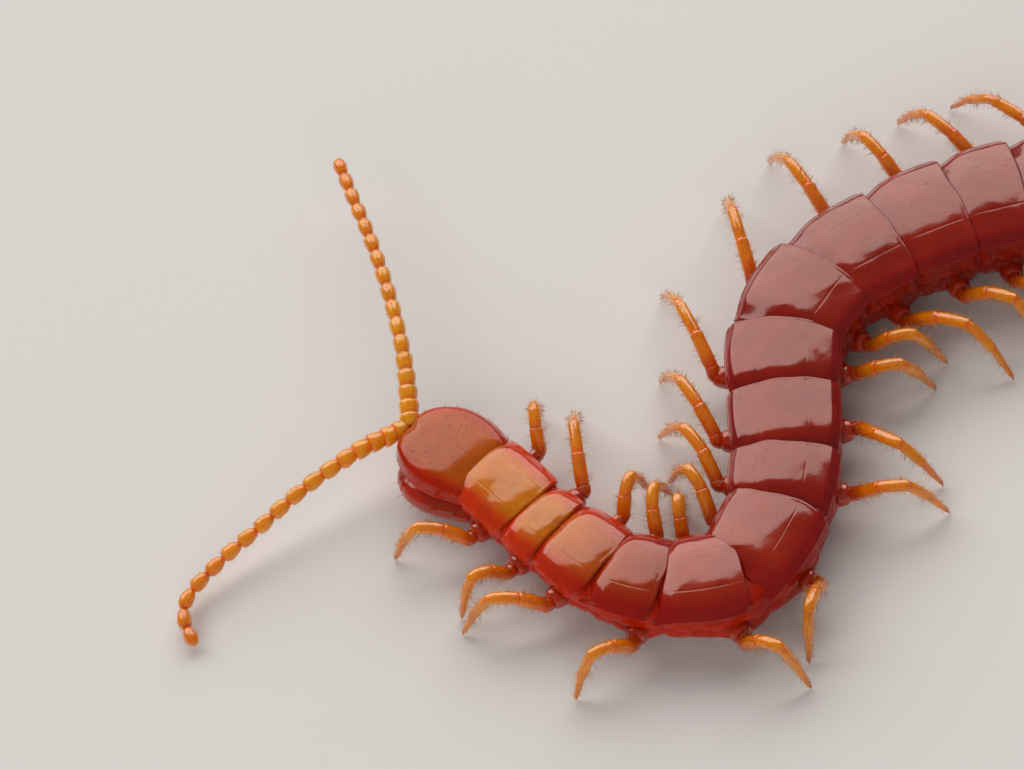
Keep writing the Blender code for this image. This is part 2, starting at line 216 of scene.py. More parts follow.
class Piece:
    """Closed surfaces gathered into one mesh, with a tone and a dark-and-shade value at each point for its
    finish.
    """

    def __init__(self):
        self.points, self.faces, self.slots, self.tones, self.darks_and_shades = [], [], [], [], []
        self.count = 0

    def take(self, points, faces, tone, dark_and_shade=0.0, slot=0):
        """Adds a closed surface, turned so that its faces look outwards."""
        points = points.reshape(-1, 3)
        volume = 0.0
        middle = points.mean(axis=0)
        for group in faces:
            for a, b in ((1, 2), (2, 3))[: group.shape[1] - 2]:
                ends = points[group[:, [0, a, b]]] - middle
                volume += np.einsum("ij,ij->i", ends[:, 0], np.cross(ends[:, 1], ends[:, 2])).sum()
        for group in faces:
            group = group if volume > 0 else group[:, ::-1]
            self.faces += (group + self.count).tolist()
            self.slots += [slot] * len(group)
        self.points.append(points)
        self.tones.append(np.broadcast_to(tone, (len(points),)))
        self.darks_and_shades.append(np.broadcast_to(dark_and_shade, (len(points),)))
        self.count += len(points)

    def surface(self, grid, tone, dark_and_shade):
        """Adds rings of points as a closed surface, with a fan of faces over each end."""
        grid = np.asarray(grid)
        rows, columns = grid.shape[:2]
        index = np.arange(rows * columns).reshape(rows, columns)
        after = np.roll(index, -1, axis=1)
        quads = np.stack([index[:-1], after[:-1], after[1:], index[1:]], axis=-1).reshape(-1, 4)
        front, rear = rows * columns, rows * columns + 1
        fans = np.concatenate([
            np.stack([np.full(columns, front), after[0], index[0]], axis=-1),
            np.stack([np.full(columns, rear), index[-1], after[-1]], axis=-1),
        ])
        points = np.concatenate([grid.reshape(-1, 3), [grid[0].mean(axis=0), grid[-1].mean(axis=0)]])
        values = []
        for value in (tone, dark_and_shade):
            spread = np.broadcast_to(value, (rows, columns))
            values.append(np.concatenate([spread.ravel(), [spread[0].mean(), spread[-1].mean()]]))
        self.take(points, [quads, fans], *values)

    def bristles(self, roots, directions, lengths, radius, tone):
        """Adds thin three-sided tapers that droop a little, in the second of the piece's finishes."""
        directions, lengths = unit(directions), lengths[:, None]
        helper = np.where(np.abs(directions[:, 2:]) > 0.9, (1.0, 0.0, 0.0), (0.0, 0.0, 1.0))
        one = unit(np.cross(directions, helper))
        two = np.cross(directions, one)
        bend = -BRISTLE_DROOP * (helper - directions * (helper * directions).sum(axis=1, keepdims=True))
        points = []
        for share, size in ((0.0, 1.0), (0.55, 0.7)):
            centre = roots + directions * lengths * share + bend * lengths * share**2
            for angle in circle(3):
                points.append(centre + (one * math.cos(angle) + two * math.sin(angle)) * radius * size)
        points = np.stack([*points, roots + directions * lengths + bend * lengths], axis=1)
        start = (np.arange(len(roots)) * points.shape[1])[:, None]
        quads = np.concatenate([start + [[k, (k + 1) % 3, 3 + (k + 1) % 3, 3 + k]] for k in range(3)])
        fans = [start + [[3 + k, 3 + (k + 1) % 3, 6]] for k in range(3)] + [start + [[2, 1, 0]]]
        self.take(points, [quads, np.concatenate(fans)], tone, slot=1)

    def make(self, name, finish, record_slot, *replaced):
        """The mesh as an object that rides on the body and stands for the nodes that are named."""
        mesh = bpy.data.meshes.new(name)
        mesh.from_pydata(to_world(np.concatenate(self.points)), [], self.faces)
        mesh.polygons.foreach_set("use_smooth", [True] * len(self.faces))
        mesh.polygons.foreach_set("material_index", self.slots)
        for label, values in (("tone", self.tones), ("dark_and_shade", self.darks_and_shades)):
            layer = mesh.attributes.new(label, "FLOAT", "POINT")
            layer.data.foreach_set("value", np.concatenate(values).astype(np.float32))
        mesh.update()
        item = bpy.data.objects.new(name, mesh)
        bpy.context.scene.collection.objects.link(item)
        for material in (finish, BRISTLE_FINISH)[: 1 + max(self.slots)]:
            mesh.materials.append(material)
        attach(item, "root")
        if replaced:
            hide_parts(*replaced)
        return item


def feed(node, inputs):
    """Gives a shader node its inputs, which are values or other nodes' outputs."""
    for key, value in inputs.items():
        if isinstance(value, bpy.types.NodeSocket):
            node.id_data.links.new(value, node.inputs[key])
        else:
            node.inputs[key].default_value = value


def add_node(tree, kind, inputs, output=0, **settings):
    """One output of a new shader node with these inputs and settings."""
    made = tree.nodes.new("ShaderNode" + kind)
    for key, value in settings.items():
        setattr(made, key, value)
    feed(made, inputs)
    return made.outputs[output]


def new_material(name):
    """A material, its node tree and its shader."""
    material = bpy.data.materials.new(name)
    material.use_nodes = True
    return material, material.node_tree, material.node_tree.nodes["Principled BSDF"]


def cuticle(name, colours, roughness, coat, translucency=0.25, grain=1.0, specular=0.5, coat_index=1.4,
            glass=0.0, depth=0.0007):
    """Shiny cuticle: a mottled colour that follows the tone, deeper where the dark-and-shade value is high
    (dark joints, tips and margins, and painted shade in creases and under lapping plates), under grain and a
    wet coat.
    """
    material, tree, shader = new_material(name)
    place = add_node(tree, "TexCoord", {}, "Object")
    tone = add_node(tree, "Attribute", {}, "Fac", attribute_name="tone")
    dark_and_shade = add_node(tree, "Attribute", {}, "Fac", attribute_name="dark_and_shade")
    ramp = add_node(tree, "ValToRGB", {"Fac": tone})
    stops = ramp.node.color_ramp.elements
    while len(stops) < len(colours):
        stops.new(0.5)
    for stop, (position, colour) in zip(stops, colours):
        stop.position = position
        stop.color = (*colour, 1.0)
    clouds = add_node(tree, "TexNoise", {"Vector": place, "Scale": 900.0, "Detail": 4.0, "Roughness": 0.6})
    specks = add_node(tree, "TexNoise", {"Vector": place, "Scale": 9000.0, "Detail": 2.0, "Roughness": 0.7})
    lift = add_node(tree, "MapRange", {0: clouds, 1: 0.3, 2: 0.7, 3: 0.84, 4: 1.16})
    fleck = add_node(tree, "MapRange", {0: specks, 1: 0.35, 2: 0.65, 3: 0.92, 4: 1.08})
    strength = add_node(tree, "Math", {0: lift, 1: fleck}, operation="MULTIPLY")
    mottled = add_node(tree, "VectorMath", {0: ramp, "Scale": strength}, operation="SCALE")
    # Deeper colour where the dark-and-shade value is high: partly real dark marks, partly painted shade
    deep = add_node(tree, "VectorMath", {0: mottled, 1: DARK_AND_SHADE_TINT}, operation="MULTIPLY")
    shaded = add_node(tree, "Mix", {0: dark_and_shade, 6: mottled, 7: deep}, 2, data_type="RGBA")
    gloss = add_node(tree, "MapRange", {0: clouds, 1: 0.3, 2: 0.7, 3: roughness[0], 4: roughness[1]})
    fine = add_node(tree, "Bump", {"Height": specks, "Strength": 0.35 * grain, "Distance": 1.6e-5})
    wavy = add_node(tree, "Bump", {"Height": clouds, "Strength": 0.5, "Distance": 4e-5 * grain,
                                   "Normal": fine})
    feed(shader, {
        "Base Color": shaded, "Roughness": gloss, "Normal": wavy, "IOR": 1.5, "Specular IOR Level": specular,
        "Subsurface Weight": translucency, "Subsurface Radius": (1.0, 0.2, 0.05), "Subsurface Scale": depth,
        "Transmission Weight": glass, "Coat Weight": coat, "Coat Roughness": 0.05, "Coat IOR": coat_index,
    })
    return material


# A colour is multiplied by this where the dark-and-shade value is 1; that value holds dark joints, tips and
# margins, and painted shade in creases and under lapping plates
DARK_AND_SHADE_TINT = (0.9, 0.13, 0.05)

# Colours along the body: share of the body's length from the front of the head, then the colour
PLATE_COLOURS = (
    (0.0, (0.82, 0.135, 0.002)), (0.06, (0.86, 0.155, 0.002)), (0.1, (0.87, 0.19, 0.003)),
    (0.135, (0.74, 0.12, 0.002)), (0.165, (0.48, 0.05, 0.0015)), (0.2, (0.34, 0.018, 0.001)),
    (0.3, (0.26, 0.01, 0.001)), (1.0, (0.22, 0.007, 0.001)),
)
FLESH_COLOURS = (
    (0.0, (0.54, 0.018, 0.0003)), (0.1, (0.6, 0.03, 0.0004)), (0.17, (0.5, 0.018, 0.0003)),
    (0.26, (0.36, 0.012, 0.0003)), (0.36, (0.27, 0.008, 0.0003)), (1.0, (0.22, 0.006, 0.0003)),
)
LIMB_COLOURS = (
    (0.0, (0.42, 0.016, 0.0004)), (0.16, (0.58, 0.04, 0.001)), (0.3, (0.9, 0.24, 0.002)),
    (0.6, (0.94, 0.34, 0.005)), (1.0, (0.9, 0.25, 0.004)),
)
FEELER_COLOURS = (
    (0.0, (0.97, 0.36, 0.006)), (0.3, (0.98, 0.39, 0.006)), (0.7, (0.97, 0.32, 0.005)),
    (1.0, (0.95, 0.27, 0.005)),
)
CLAW_COLOURS = ((0.0, (0.4, 0.014, 0.0005)), (1.0, (0.46, 0.024, 0.001)))
PLATE_FINISH = cuticle("plate_cuticle", PLATE_COLOURS, (0.12, 0.18), 0.75, translucency=0.2, grain=0.55)
FRONT_PLATE_FINISH = cuticle("front_plate_cuticle", PLATE_COLOURS, (0.12, 0.18), 0.75, translucency=0.55,
                             grain=0.55, specular=0.35, depth=0.001)
FLESH_FINISH = cuticle("flank_skin", FLESH_COLOURS, (0.24, 0.36), 0.18, translucency=0.7, grain=1.4,
                       specular=0.2)
BELLY_FINISH = cuticle("belly_plate_cuticle", FLESH_COLOURS, (0.22, 0.34), 0.4)
CLAW_FINISH = cuticle("poison_claw_cuticle", CLAW_COLOURS, (0.12, 0.2), 0.8, translucency=0.5)
LIMB_FINISH = cuticle("leg_cuticle", LIMB_COLOURS, (0.1, 0.16), 0.9, translucency=0.6, grain=0.7,
                      coat_index=1.55, glass=0.25)
FEELER_FINISH = cuticle("feeler_cuticle", FEELER_COLOURS, (0.12, 0.18), 0.8, translucency=0.8, grain=0.7,
                        coat_index=1.5, glass=0.2, depth=0.0012)


def bristle_finish():
    """Bristles run from dark, at tone 0, to golden, at tone 1."""
    material, tree, shader = new_material("bristle")
    place = add_node(tree, "TexCoord", {}, "Object")
    tone = add_node(tree, "Attribute", {}, "Fac", attribute_name="tone")
    noise = add_node(tree, "TexNoise", {"Vector": place, "Scale": 2500.0, "Detail": 2.0})
    shift = add_node(tree, "MapRange", {0: noise, 1: 0.3, 2: 0.7, 3: -0.2, 4: 0.2})
    ramp = add_node(tree, "ValToRGB", {"Fac": add_node(tree, "Math", {0: tone, 1: shift}, operation="ADD")})
    stops = ramp.node.color_ramp.elements
    stops[0].color, stops[1].color = (0.12, 0.02, 0.005, 1.0), (0.8, 0.4, 0.08, 1.0)
    feed(shader, {"Base Color": ramp, "Roughness": 0.4})
    return material


BRISTLE_FINISH = bristle_finish()


# Half the trunk's width by station, in the neck and then at each plate
HALF_WIDTHS = [(0.0, 1.3), (2.8, 1.4)] + [
    (front + 0.55 * length, width / 2) for front, length, width in zip(FRONTS, PLATE_LENGTHS, PLATE_WIDTHS)
]


def half_width_at(station):
    return read(HALF_WIDTHS, station)


def leg_pose(number, side):
    posed = LEFT_LEGS if side == "left" else RIGHT_LEGS
    if number in posed:
        return posed[number]
    phase = 2 * math.pi * number / WAVE_SEGMENTS + (math.pi if side == "left" else 0.0)
    return WAVE_SWING * math.sin(phase), WAVE_REACH + 0.2 * math.cos(phase), HIP_SHARE, WAVE_BOW


# Half of the skin's section, from mid back to mid belly: shares of the half width and of the depth
SKIN_POINTS = (
    (0.0, 0.88), (0.4, 0.87), (0.72, 0.84), (0.88, 0.79), (0.94, 0.68), (0.96, 0.48), (0.91, 0.24),
    (0.78, 0.08), (0.5, 0.015), (0.0, 0.02),
)
SKIN_MIDDLE = (0.3, 0.45)
LAST_HIP_SHARE = 0.7
SKIN_RINGS = 26
SKIN_SIDE = 64
# Rings that close the skin behind the last segment: distance behind it, share of the size
SKIN_END = ((0.25, 0.8), (0.5, 0.55), (0.62, 0.2))


def make_skin():
    """The soft skin of the whole trunk, with folded flanks, swollen hips and rings between segments."""
    half = Line(SKIN_POINTS)
    places = np.linspace(0.0, half.length, SKIN_SIDE + 1)
    profile, heading = half.at(places), half.heading(places)
    outward = unit(np.stack([-heading[:, 1], heading[:, 0]], axis=-1))
    outward *= np.sign((outward * (profile - SKIN_MIDDLE)).sum(axis=1, keepdims=True))
    across, rise = mirrored(profile[:, 0], -1), mirrored(profile[:, 1])
    push = mirrored(outward, (-1, 1))
    flank = ease(0.55, 0.85, np.abs(across))
    rings, tones, darks_and_shades = [], [], []

    def add_ring(station, swell):
        half_width = half_width_at(station)
        fold = swell * half_width / 2.1 * flank
        level = BELLY_HEIGHT + 2 * half_width * DEPTH_SHARE * rise + push[:, 1] * fold * 0.6
        rings.append(on_body(station, half_width * across + push[:, 0] * fold, level))
        tones.append(station / BODY_LENGTH)
        # Painted shade: the colour deepens where the skin folds inwards, in the creases, the hollows between
        # lumps and the rings between segments
        darks_and_shades.append(np.clip(-fold * 4.0, 0.0, 0.6))

    for station in np.linspace(HEAD_LENGTH - 0.7, HEAD_LENGTH, 8, endpoint=False):
        add_ring(station, -0.05)
    for index, length in enumerate(PLATE_LENGTHS):
        hips = [leg_pose(index + 1, name)[2] for name in ("left", "right")]
        hip = np.where(across > 0, *hips) if index < SEGMENTS - 1 else LAST_HIP_SHARE
        for at in np.arange(SKIN_RINGS) / SKIN_RINGS:
            border = min(at, 1 - at) * length
            # The hip, the roll under the plate, the crease along the flank and the ring between segments
            swell = 0.3 * bell(at, hip, 0.2) * bell(rise, 0.24, 0.14)
            swell += 0.1 * bell(at, 0.5, 0.3) * bell(rise, 0.56, 0.07)
            swell -= 0.1 * bell(rise, 0.41, 0.035)
            swell -= 0.13 * bell(border, 0.0, 0.16) * (1 - bell(rise, 0.0, 0.05))
            # The fold behind the hip, then large and small lumps
            swell -= 0.045 * bell(at, hip + 0.3, 0.05) * bell(rise, 0.3, 0.2)
            turn = 2 * math.pi * at
            swell += 0.045 * np.sin(3 * turn + 11 * rise + index) * bell(rise, 0.45, 0.25)
            swell += 0.03 * np.sin(7 * turn - 17 * rise + 2 * index) * bell(rise, 0.4, 0.25)
            add_ring(FRONTS[index] + at * length, swell)
    half_width, middle = half_width_at(BODY_LENGTH), SKIN_MIDDLE[1]
    for behind, size in SKIN_END:
        level = BELLY_HEIGHT + 0.1 + 2 * half_width * DEPTH_SHARE * (middle + (rise - middle) * size)
        rings.append(on_body(BODY_LENGTH + behind, half_width * size * across, level))
        tones.append(1.0)
        darks_and_shades.append(np.full(len(across), 0.1))
    piece = Piece()
    piece.surface(rings, np.array(tones)[:, None], darks_and_shades)
    add_flank_bristles(piece)
    piece.make("trunk_skin", FLESH_FINISH, "trunk_rear", *[f"trunk_{n}" for n in range(1, 8)])


def add_flank_bristles(piece):
    """Adds the short bristles low on the flanks."""
    count = 620
    stations = rng.uniform(HEAD_LENGTH + 0.2, BODY_LENGTH - 0.1, count)
    sides = np.where(rng.random(count) < 0.5, -1.0, 1.0)
    rise = rng.uniform(0.12, 0.5, count)
    half = half_width_at(stations)
    reach = half * np.interp(rise, *np.array(FLANK_WIDTHS).T) * 0.97
    level = BELLY_HEIGHT + 2 * half * DEPTH_SHARE * rise
    roots = on_body(stations, sides * reach, level)
    ends = on_body(stations + rng.uniform(-0.1, 0.5, count), sides * (reach + 1.0), level - 0.25)
    piece.bristles(roots, ends - roots, rng.uniform(0.09, 0.2, count), 0.008, 0.7)


# The top of a back plate's section: share of the half width, share of the depth
PLATE_SECTION = (
    (0.0, 1.0), (0.2, 0.996), (0.36, 0.984), (0.5, 0.965), (0.62, 0.945), (0.74, 0.925), (0.82, 0.91),
    (0.86, 0.898), (0.89, 0.88), (0.92, 0.86), (0.96, 0.833), (1.0, 0.8),
)
# The front plates are rounder
ROUND_SECTION = (
    (0.0, 1.0), (0.2, 0.995), (0.36, 0.984), (0.5, 0.967), (0.62, 0.945), (0.74, 0.913), (0.82, 0.882),
    (0.875, 0.853), (0.91, 0.83), (0.94, 0.81), (0.975, 0.783), (1.0, 0.755),
)
# A back plate from above: share of the length, share of the half width
PLATE_OUTLINE = ((-0.2, 0.9), (0.0, 0.93), (0.12, 0.965), (0.3, 1.0), (0.6, 1.02), (0.85, 1.02), (1.1, 1.0))
FIRST_OUTLINE = ((-0.1, 1.0), (0.0, 1.01), (0.3, 1.01), (0.8, 1.0), (1.2, 0.97))
PLATE_ROWS = (
    0.0, 0.03, 0.06, 0.1, 0.14, 0.18, 0.22, 0.27, 0.32, 0.38, 0.44, 0.5, 0.56, 0.62, 0.68, 0.74, 0.79,
    0.84, 0.88, 0.91, 0.935, 0.955, 0.97, 0.98, 0.988, 0.994, 0.998, 1.0,
)
PLATE_TUCK = 0.35
PLATE_LAP = 0.05
PLATE_THICKNESS = 0.055
SUTURE = 0.43
PLATE_STIFFNESS = 0.6
# Waves over a plate: their pitch and size. The rear edge has waves of its own: pitch and spread of size
PLATE_WAVES = ((1.7, 0.008), (2.9, 0.005), (4.3, 0.004), (6.1, 0.003), (9.4, 0.0016), (14.0, 0.001))
REAR_WAVES = ((2.3, 4.1, 6.7, 11.0), (0.035, 0.022, 0.014, 0.007))
# How many plates have the front finish, and how many are labelled trunk_front instead of trunk_rear
FRONT_PLATES = 4
TRUNK_FRONT_PLATES = 6


def plate_columns():
    """Shares of the half width across a plate, closer together at the sutures and at the margins."""
    half = np.concatenate([
        np.linspace(0.0, SUTURE - 0.05, 9)[:-1],
        SUTURE + np.array([-0.05, -0.025, -0.01, 0.0, 0.01, 0.025, 0.05]),
        np.linspace(SUTURE + 0.09, 0.84, 8),
        (0.865, 0.885, 0.9, 0.915, 0.935, 0.955, 0.97, 0.985, 0.995, 1.0),
    ])
    return np.concatenate([-half[:0:-1], half])


def on_plate(index, along, across, height):
    """Plan points on a plate, which bends less than the body line under it."""
    front, length = FRONTS[index], PLATE_LENGTHS[index]
    bent = on_body(front + along, across, height)
    middle = front + 0.5 * length
    back = BODY.heading(middle)
    flat = BODY.at(middle) + back * (along - 0.5 * length)[..., None] + leftward(back) * across[..., None]
    straight = np.concatenate([flat, height[..., None]], axis=-1)
    return bent + (straight - bent) * PLATE_STIFFNESS


def rounded(distance, reach):
    """A share that rises like a quarter circle from an edge, and never quite reaches 0."""
    return np.sqrt(np.clip(1 - (1 - np.clip(distance / reach, 0, 1)) ** 2, 0.0025, 1))


def make_plate(index):
    """One back plate: a thin shell with sutures and rolled margins, whose rear edge laps the next plate."""
    length, width = PLATE_LENGTHS[index], PLATE_WIDTHS[index]
    first, last = index == 0, index == SEGMENTS - 1
    columns = plate_columns()
    out = np.abs(columns)
    share = np.array(PLATE_ROWS)[:, None]
    low = -0.12 if first else -PLATE_TUCK
    notch = -0.17 * out ** 2.2 if not last else 0.22 * (1 - out ** 1.6) - 0.1
    for order, size, turn in zip(REAR_WAVES[0], rng.normal(0.0, REAR_WAVES[1]), rng.uniform(0, 6.3, 4)):
        notch = notch + size * np.cos(order * columns + turn)
    rear = length + (0.1 if last else PLATE_LAP) + notch
    along = low + share * (rear - low)
    way = along / length
    outline = read(FIRST_OUTLINE if first else PLATE_OUTLINE, way)
    corner = ease(0.16, 0.0, rear - along) * ease(0.9, 1.0, out)
    outline = outline * (1 - 0.035 * corner)
    across = columns * width / 2 * outline
    firm = ease(2.0, 7.0, index)
    section = read(PLATE_SECTION, out) * firm + read(ROUND_SECTION, out) * (1 - firm)
    depth = 2 * half_width_at(FRONTS[index] + along) * DEPTH_SHARE
    top = BELLY_HEIGHT + depth * section
    for (pitch, size), turn in zip(PLATE_WAVES, rng.uniform(0, 6.3, (len(PLATE_WAVES), 2))):
        top = top + size * np.sin(pitch * along + turn[0]) * np.cos(pitch * 1.3 * across + turn[1])
    groove = 0.008 * bell(out, SUTURE, 0.01) * ease(0.05, 0.3, way)
    groove = groove * (1 - 0.7 * ease(0.75, 1.0, way))
    rim = 0.02 * bell(out, 0.99, 0.012) - 0.016 * bell(out, 0.965, 0.012)
    middle = np.clip(way, -0.1, 1.0) * 2 - 1
    arch = (0.1 - 0.06 * firm) * (1 - middle**4) * (1 - out ** 4)
    arch = arch - (0.07 - 0.03 * firm) * middle**4 * ease(0.45, 0.9, out)
    dip = 0.15 * (1 - ease(-0.3, 0.5, along)) if not first else -0.12 * (1 - ease(-0.1, 1.4, along))
    lip = 0.014 * bell(rear - along, 0.06, 0.05)
    height = top - groove + rim + arch - dip + lip
    thickness = PLATE_THICKNESS * rounded(rear - along, 0.06)
    if first:
        thickness *= rounded(along - low, 0.05)
    height = height - (PLATE_THICKNESS - thickness) * 0.5
    upper = on_plate(index, along, across, height)
    few = np.arange(len(columns))[::-3]
    under = on_plate(index, along[:, few], across[:, few] * 0.985, height[:, few] - thickness[:, few])
    grid = np.concatenate([upper, under], axis=1)
    line = bell(out, SUTURE, 0.012) * 0.12 * ease(0.05, 0.2, way)
    margin = 0.95 * ease(0.35 + 0.35 * firm, 0.82 + 0.13 * firm, out)
    margin = margin + 0.15 * bell(rear - along, 0.0, 0.05)
    # Painted shade: the front of each plate, which tucks under the lap of the plate before it, is darkened,
    # and the underside is darker too; the colour also deepens at the suture lines, towards the side margins
    # and along the rear rim
    shade = np.clip(line + margin + 0.7 * (1 - ease(0.0, 0.5, along)) * (not first), 0, 1.0)
    dark_and_shade = np.concatenate([shade, np.full(under.shape[:2], 0.5)], axis=1)
    tone = (FRONTS[index] + np.concatenate([along, along[:, few]], axis=1)) / BODY_LENGTH
    piece = Piece()
    piece.surface(grid, tone, dark_and_shade)
    count = 46
    picks = rng.integers(2, len(PLATE_ROWS) - 3, count), rng.integers(3, len(columns) - 3, count)
    ways = slanted(FRONTS[index] + along[picks], 1.0, 0.55)
    piece.bristles(upper[picks], ways, rng.uniform(0.06, 0.12, count), 0.005, 0.1)
    finish = FRONT_PLATE_FINISH if index < FRONT_PLATES else PLATE_FINISH
    piece.make(f"back_plate_{index + 1:02d}", finish,
               "trunk_front" if index < TRUNK_FRONT_PLATES else "trunk_rear")


def make_belly_plate(index):
    """One belly plate: a shallow shell with a groove along its middle."""
    length, width = PLATE_LENGTHS[index], PLATE_WIDTHS[index]
    half_width, depth = width / 2 * 0.6, width * DEPTH_SHARE
    columns = np.concatenate([np.linspace(-1, 1, 27), np.linspace(1, -1, 9)[1:-1]])
    out = np.abs(columns)
    under = np.concatenate([np.ones(27), np.zeros(7)])
    rows = np.concatenate([(0.0, 0.01, 0.03, 0.07), np.linspace(0.12, 0.88, 12), (0.93, 0.97, 0.99, 1.0)])
    rows = rows[:, None]
    taper = 1 - 0.25 * rows if index == SEGMENTS - 1 else 1.0
    rounding = np.clip(1 - (1 - np.clip(np.minimum(rows, 1 - rows) / 0.07, 0, 1)) ** 2, 0.0, 1.0)
    edge_round = np.sqrt(np.clip(1 - out ** 8, 0.0, 1.0))
    thickness = 0.07 * np.sqrt(rounding) * np.maximum(edge_round, 0.1)
    across = columns * half_width * taper * (0.9 + 0.1 * np.sqrt(rounding))
    along = 0.06 + rows * (length - 0.1)
    sag = 0.1 * depth * ease(0.55, 1.0, out * 0.9)
    crown = 0.07 * (1 - columns**2) * np.sqrt(rounding) - 0.06 * bell(columns, 0.0, 0.05)
    crown = crown - 0.035 * bell(out, 0.5, 0.04)
    height = BELLY_HEIGHT + sag - under * (thickness + crown) + 0.02
    grid = on_plate(index, along, across, height)
    shade = 0.5 * bell(columns, 0.0, 0.08) + 0.5 * ease(0.85, 1.0, out)
    shade = shade + 0.3 * (1 - np.sqrt(rounding))
    piece = Piece()
    piece.surface(grid, (FRONTS[index] + along) / BODY_LENGTH, np.clip(shade, 0, 0.8))
    piece.make(f"belly_plate_{index + 1:02d}", BELLY_FINISH, "trunk_rear")


def tube_rings(centres, side, radii, sides):
    """Rings of points round a path of centres. Side is a direction across the path."""
    path = unit(np.gradient(centres, axis=0))
    side = np.broadcast_to(side, centres.shape)
    side = unit(side - path * (side * path).sum(axis=1, keepdims=True))
    angle = circle(sides)[:, None]
    ring = side[:, None] * np.cos(angle) + np.cross(side, path)[:, None] * np.sin(angle)
    return centres[:, None] + ring * radii[:, None, None]


UPWARDS = (0, 0, 1.0)


def blunt(share):
    """The share of a peg's radius that is left along it, up to its blunt end."""
    return np.sqrt(np.clip(1 - share**3, 0.02, 1))


def shaped_path(rows, sign, steps, start=0.0):
    """A path through rows of station, distance from the middle, height and radius, with radii by distance."""
    rows = np.array(rows)
    line = Line(on_body(start + rows[:, 0], sign * rows[:, 1], rows[:, 2]))
    place = np.linspace(0, line.length, steps)
    return line, place, read(np.stack([line.reached[:: Line.STEPS], rows[:, 3]], axis=1), place)


def round_path(line, side, place, reach):
    """The headings of a path at some places, and random directions out of it there."""
    angle = rng.uniform(0, 2 * math.pi, len(place))[:, None]
    forward = line.heading(place, reach)
    level = unit(side - forward * (forward * side).sum(axis=1, keepdims=True))
    return forward, level * np.cos(angle) + np.cross(level, forward) * np.sin(angle)


# Along one article: share of its length, share of its radius, and how dark its finish is
ARTICLE = (
    (0.0, 0.93, 0.7), (0.02, 0.95, 0.45), (0.06, 0.96, 0.2), (0.16, 0.98, 0.08), (0.32, 1.0, 0.0),
    (0.5, 1.01, 0.0), (0.7, 1.0, 0.0), (0.86, 1.0, 0.0), (0.93, 1.01, 0.1), (0.97, 0.99, 0.3),
    (0.99, 0.94, 0.6), (1.0, 0.88, 0.7),
)
HIP_ARTICLE = (
    (0.0, 1.0, 0.3), (0.3, 1.03, 0.1), (0.5, 1.04, 0.1), (0.65, 1.05, 0.1), (0.78, 1.06, 0.1),
    (0.86, 1.05, 0.15), (0.92, 1.0, 0.25), (0.96, 0.92, 0.4), (1.0, 0.8, 0.7),
)
# A leg's articles: start and end as shares of its path, radius at each, and its bristles
LEG_ARTICLES = (
    (0.0, 0.16, 0.52, 0.34, 0), (0.16, 0.21, 0.27, 0.26, 5), (0.21, 0.4, 0.255, 0.24, 54),
    (0.4, 0.58, 0.225, 0.21, 54), (0.58, 0.77, 0.195, 0.17, 56), (0.77, 0.88, 0.14, 0.125, 24),
    (0.88, 0.955, 0.11, 0.085, 14),
)
# Where a leg's claw starts on its path, and the length of a leg's bristles
CLAW_START = 0.945
LIMB_BRISTLE = 0.26


def make_limb(piece, line, side, articles, sides, claw_start, claw_radius=0.08):
    """Adds the articles of a leg, with bristles, and a pointed claw at its end."""
    rows = np.array([
        (start + (end - start) * share, (one + (two - one) * share) * size, shade)
        for start, end, one, two, _ in articles for share, size, shade in (ARTICLE if start else HIP_ARTICLE)
    ])
    rings = tube_rings(line.at(rows[:, 0] * line.length), side, rows[:, 1], sides)
    piece.surface(rings, rows[:, :1], rows[:, 2:] * 0.85)
    for start, end, one, two, count in articles:
        if not count:
            continue
        share = rng.uniform(0.08, 0.95, count)
        place = (start + (end - start) * share) * line.length
        forward, out = round_path(line, side, place, 0.08)
        roots = line.at(place) + out * ((one + (two - one) * share) * 0.97)[:, None]
        length = LIMB_BRISTLE * rng.uniform(0.6, 1.25, count) * np.where(out[:, 2] < 0, 1.15, 0.9)
        length = length * min(1.0, 0.35 + 3.2 * one)
        piece.bristles(roots, out + forward * rng.uniform(0.35, 0.9, count)[:, None], length, 0.0075, 0.75)
    share = np.linspace(0, 1, 9)
    place = (claw_start + (1 - claw_start) * share) * line.length
    rings = tube_rings(line.at(place), side, claw_radius * (1 - share) ** 0.8 + 0.006, 10)
    piece.surface(rings, 1.0, np.linspace(0.5, 1.0, 9)[:, None])


def leg_line(number, side):
    """The path of a leg from inside the flank to the tip of its claw, and the level direction across it."""
    index = number - 1
    swing, reach, hip_share, bow = leg_pose(number, side)
    station = FRONTS[index] + hip_share * PLATE_LENGTHS[index]
    back = BODY.heading(station)
    outward = leftward(back) * (1 if side == "left" else -1)
    turn = math.radians(swing)
    depth = PLATE_WIDTHS[index] * DEPTH_SHARE
    flank = np.interp((HIP_HEIGHT - BELLY_HEIGHT) / depth, *np.array(FLANK_WIDTHS).T)
    hip = BODY.at(station) + outward * (flank * PLATE_WIDTHS[index] / 2 + LEG_GAP)
    root = hip + outward * LEG_ROOT
    way_out = outward * math.cos(turn) + back * math.sin(turn)
    foot = hip + way_out * reach
    bend = (back * math.cos(turn) - outward * math.sin(turn)) * bow
    points = [(*(hip - outward * 0.8), 0.98), (*(hip - outward * 0.35), 1.04), (*hip, HIP_HEIGHT)]
    first = LEG_SHAPE[1][0]
    for share, height in LEG_SHAPE[1:]:
        way = (share - first) / (1 - first)
        place = root + (foot - root) * way + bend * math.sin(math.pi * way)
        points.append((*place, height))
    points.append((*(foot + way_out * 0.05), 0.01))
    return Line(points), np.array([-way_out[1], way_out[0], 0.0])


def make_leg(number, side):
    line, across = leg_line(number, side)
    piece = Piece()
    make_limb(piece, line, across, LEG_ARTICLES, 18, CLAW_START)
    piece.make(f"walking_leg_{number:02d}_{side}", LIMB_FINISH, "legs",
               f"leg_{number:02d}_{side}")


